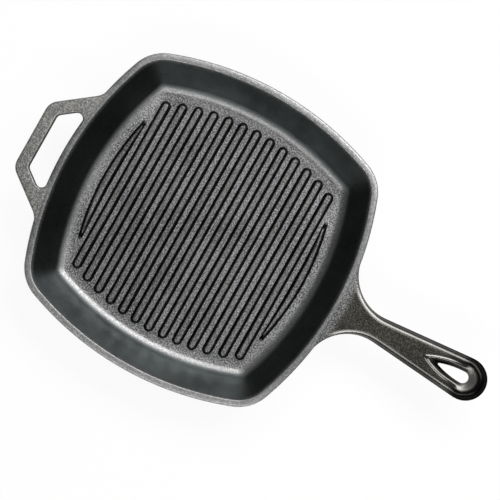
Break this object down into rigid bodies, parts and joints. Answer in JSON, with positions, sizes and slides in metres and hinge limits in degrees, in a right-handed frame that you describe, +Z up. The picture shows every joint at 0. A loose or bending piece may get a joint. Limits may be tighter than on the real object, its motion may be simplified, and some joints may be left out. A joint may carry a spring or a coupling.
{
  "type": "grill pan",
  "caption": "Square cast-iron grill pan with bowed sides, flared walls, raised ribs across the floor, a long handle with a teardrop hanging hole and a helper loop opposite.",
  "frame": {"origin": "middle of the flat base, on the surface that the pan stands on", "axes": "+X along the main handle away from the pan, +Y along the ribs, +Z up"},
  "size_m": [0.4341, 0.266, 0.0516],
  "materials": {
    "floor_iron": "black seasoned cast iron, pebbly as cast",
    "rib_iron": "black seasoned cast iron, a little smoother on the rib tops",
    "wall_iron": "black seasoned cast iron, smooth satin",
    "rim_iron": "black seasoned cast iron, pebbly as cast",
    "handle_iron": "brown-black seasoned cast iron, satin with bright worn edges"
  },
  "bodies": {
    "root": {"pan_floor": "floor_iron", "pan_wall": "wall_iron", "rim": "rim_iron", "main_handle": "handle_iron", "helper_handle": "rim_iron", "rib_01": "rib_iron", "rib_02": "rib_iron", "rib_03": "rib_iron", "rib_04": "rib_iron", "rib_05": "rib_iron", "rib_06": "rib_iron", "rib_07": "rib_iron", "rib_08": "rib_iron", "rib_09": "rib_iron", "rib_10": "rib_iron", "rib_11": "rib_iron", "rib_12": "rib_iron", "rib_13": "rib_iron", "rib_14": "rib_iron", "rib_15": "rib_iron"}
  },
  "joints": []
}
